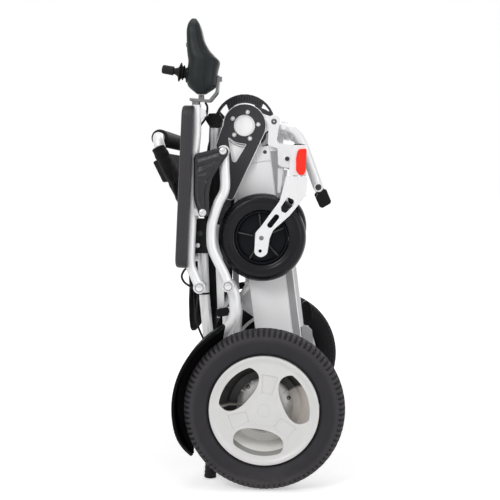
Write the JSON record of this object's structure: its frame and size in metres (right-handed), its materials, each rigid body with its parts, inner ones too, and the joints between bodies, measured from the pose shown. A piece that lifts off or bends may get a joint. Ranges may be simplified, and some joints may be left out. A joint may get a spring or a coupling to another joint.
{
  "type": "wheelchair",
  "caption": "Folded heavy-duty power wheelchair standing on end: drive wheels with hub motors, swivel casters, side battery boxes, folding back, seat, armrests and joystick",
  "frame": {"origin": "on the floor, below the middle of the drive axle, in the middle plane of the chair", "axes": "+Z up, in the folded chair standing on end; +Y towards the left-hand side of the chair; +X towards its underside, so the joystick is on the -Y side and the back faces -X. In use the chair is turned so that +Z points forwards and -X up"},
  "size_m": [0.4007, 0.722, 0.923],
  "materials": {
    "silver_paint": "satin metallic",
    "charcoal_plastic": "fine texture",
    "grey_plastic": "matt",
    "black_plastic": "semi-gloss",
    "black_rubber": "matt",
    "tyre_rubber": "matt",
    "vinyl": "fine grain vinyl",
    "red_lens": "gloss",
    "silver_alloy": "satin",
    "control_plastic": "fine texture"
  },
  "bodies": {
    "arm_left": {"arm_pad_left": "vinyl", "arm_tube_left": "silver_paint", "side_guard_left": "charcoal_plastic"},
    "arm_right": {"arm_lead": "black_rubber", "arm_pad_right": "vinyl", "arm_tube_right": "silver_paint", "joystick_bracket": "silver_paint", "joystick_pod": "control_plastic", "side_guard_right": "charcoal_plastic"},
    "back_recline": {"back_cushion": "vinyl", "back_frame_upper": "silver_paint", "push_grip": "black_rubber"},
    "back_unfold": {"back_cushion_lower": "vinyl", "back_frame_lower": "silver_paint", "back_lead": "black_rubber", "recline_block_left": "black_plastic", "recline_block_right": "black_plastic"},
    "caster_left": {"caster_fork_left": "silver_paint"},
    "caster_right": {"caster_fork_right": "silver_paint"},
    "caster_wheel_left": {"caster_hub_left": "black_plastic", "caster_tyre_left": "tyre_rubber"},
    "caster_wheel_right": {"caster_hub_right": "black_plastic", "caster_tyre_right": "tyre_rubber"},
    "chassis": {"battery_box_left": "silver_paint", "battery_box_right": "silver_paint", "chassis_frame": "silver_paint", "fender_left": "black_plastic", "fender_right": "black_plastic", "lift_grip_left": "charcoal_plastic", "lift_grip_right": "charcoal_plastic", "motor_left": "silver_alloy", "motor_right": "silver_alloy", "ring_plate_left": "charcoal_plastic", "ring_plate_right": "charcoal_plastic", "rubber_foot_left": "black_rubber", "rubber_foot_right": "black_rubber"},
    "footplate": {"footplate": "black_plastic"},
    "horn_button": {"horn_button": "grey_plastic"},
    "joystick": {"joystick": "black_rubber"},
    "joystick_tip": {"joystick_gimbal": "grey_plastic"},
    "leg": {"footrest_hanger": "silver_paint", "leg_bracket_left": "silver_paint", "leg_bracket_right": "silver_paint", "reflector_left": "red_lens", "reflector_right": "red_lens"},
    "power_button": {"power_button": "grey_plastic"},
    "recline_button_left": {"recline_button_left": "grey_plastic"},
    "recline_button_right": {"recline_button_right": "grey_plastic"},
    "seat": {"seat_cushion": "vinyl", "seat_frame": "silver_paint", "seat_latch_left": "black_plastic", "seat_latch_right": "black_plastic"},
    "seat_link_left": {"seat_link_left": "silver_paint"},
    "seat_link_right": {"seat_link_right": "silver_paint"},
    "stay_left": {"arm_stay_left": "silver_paint"},
    "stay_right": {"arm_stay_right": "silver_paint"},
    "wheel_left": {"drive_rim_left": "silver_alloy", "drive_tyre_left": "tyre_rubber"},
    "wheel_right": {"drive_rim_right": "silver_alloy", "drive_tyre_right": "tyre_rubber"}
  },
  "joints": [
    {"name": "back_unfold", "type": "hinge", "parent": "chassis", "child": "back_unfold", "pos_m": [-0.112, 0, 0.055], "axis": [0, -1, 0], "range_deg": [0, 78]},
    {"name": "back_recline", "type": "hinge", "parent": "back_unfold", "child": "back_recline", "pos_m": [-0.1345, 0, 0.5], "axis": [0, -1, 0], "range_deg": [-12, 0]},
    {"name": "leg", "type": "hinge", "parent": "chassis", "child": "leg", "pos_m": [0.015, 0, 0.7265], "axis": [0, -1, 0], "range_deg": [0, 76]},
    {"name": "footplate", "type": "hinge", "parent": "leg", "child": "footplate", "pos_m": [0.1057, 0, 0.5935], "axis": [0, 1, 0], "range_deg": [0, 110]},
    {"name": "seat", "type": "hinge", "parent": "back_unfold", "child": "seat", "pos_m": [-0.1165, 0, 0.27], "axis": [0, -1, 0], "range_deg": [-88.5, 0]},
    {"name": "wheel_right", "type": "hinge", "parent": "chassis", "child": "wheel_right", "pos_m": [0, -0.33, 0.159], "axis": [0, 1, 0], "continuous": true},
    {"name": "caster_right", "type": "hinge", "parent": "leg", "child": "caster_right", "pos_m": [0.0629, -0.248, 0.6173], "axis": [0.0687, 0, 0.9976], "range_deg": [0, 180]},
    {"name": "caster_wheel_right", "type": "hinge", "parent": "caster_right", "child": "caster_wheel_right", "pos_m": [-0.0085, -0.248, 0.4922], "axis": [0, 1, 0], "continuous": true},
    {"name": "recline_button_right", "type": "slide", "parent": "back_unfold", "child": "recline_button_right", "axis": [0, 1, 0], "range_m": [0, 0.002], "stiffness_N_per_m": 200},
    {"name": "seat_link_right", "type": "hinge", "parent": "chassis", "child": "seat_link_right", "pos_m": [-0.0937, -0.215, 0.3385], "axis": [0, -1, 0], "range_deg": [0, 91.2]},
    {"name": "arm_right", "type": "hinge", "parent": "back_unfold", "child": "arm_right", "pos_m": [-0.1315, -0.2885, 0.3938], "axis": [0, -1, 0], "range_deg": [-93, 0]},
    {"name": "stay_right", "type": "hinge", "parent": "chassis", "child": "stay_right", "pos_m": [-0.074, -0.2885, 0.397], "axis": [0, -1, 0], "range_deg": [0, 98.7]},
    {"name": "wheel_left", "type": "hinge", "parent": "chassis", "child": "wheel_left", "pos_m": [0, 0.33, 0.159], "axis": [0, 1, 0], "continuous": true},
    {"name": "caster_left", "type": "hinge", "parent": "leg", "child": "caster_left", "pos_m": [0.0629, 0.248, 0.6173], "axis": [-0.0687, 0, -0.9976], "range_deg": [0, 180]},
    {"name": "caster_wheel_left", "type": "hinge", "parent": "caster_left", "child": "caster_wheel_left", "pos_m": [-0.0085, 0.248, 0.4922], "axis": [0, 1, 0], "continuous": true},
    {"name": "recline_button_left", "type": "slide", "parent": "back_unfold", "child": "recline_button_left", "axis": [0, -1, 0], "range_m": [0, 0.002], "stiffness_N_per_m": 200},
    {"name": "seat_link_left", "type": "hinge", "parent": "chassis", "child": "seat_link_left", "pos_m": [-0.0937, 0.215, 0.3385], "axis": [0, -1, 0], "range_deg": [0, 91.2]},
    {"name": "arm_left", "type": "hinge", "parent": "back_unfold", "child": "arm_left", "pos_m": [-0.1315, 0.2885, 0.3938], "axis": [0, -1, 0], "range_deg": [-93, 0]},
    {"name": "stay_left", "type": "hinge", "parent": "chassis", "child": "stay_left", "pos_m": [-0.074, 0.2885, 0.397], "axis": [0, -1, 0], "range_deg": [0, 98.7]},
    {"name": "joystick_tip", "type": "hinge", "parent": "arm_right", "child": "joystick_tip", "pos_m": [-0.1458, -0.3, 0.81627], "axis": [0, 1, 0], "range_deg": [-15, 15], "stiffness_Nm_per_rad": 0.05},
    {"name": "joystick", "type": "hinge", "parent": "joystick_tip", "child": "joystick", "pos_m": [-0.1458, -0.3, 0.81627], "axis": [0.1736, 0, 0.9848], "range_deg": [-15, 15], "stiffness_Nm_per_rad": 0.05},
    {"name": "power_button", "type": "slide", "parent": "arm_right", "child": "power_button", "axis": [1, 0, 0], "range_m": [0, 0.0015], "stiffness_N_per_m": 150},
    {"name": "horn_button", "type": "slide", "parent": "arm_right", "child": "horn_button", "axis": [1, 0, 0], "range_m": [0, 0.0015], "stiffness_N_per_m": 150}
  ],
  "couplings": [
    {"joint": "seat", "follows": "back_unfold", "ratio": -1.133},
    {"joint": "seat_link_right", "follows": "back_unfold", "ratio": 1.168},
    {"joint": "arm_right", "follows": "back_unfold", "ratio": -1.191},
    {"joint": "stay_right", "follows": "back_unfold", "ratio": 1.264},
    {"joint": "seat_link_left", "follows": "back_unfold", "ratio": 1.168},
    {"joint": "arm_left", "follows": "back_unfold", "ratio": -1.191},
    {"joint": "stay_left", "follows": "back_unfold", "ratio": 1.264}
  ]
}
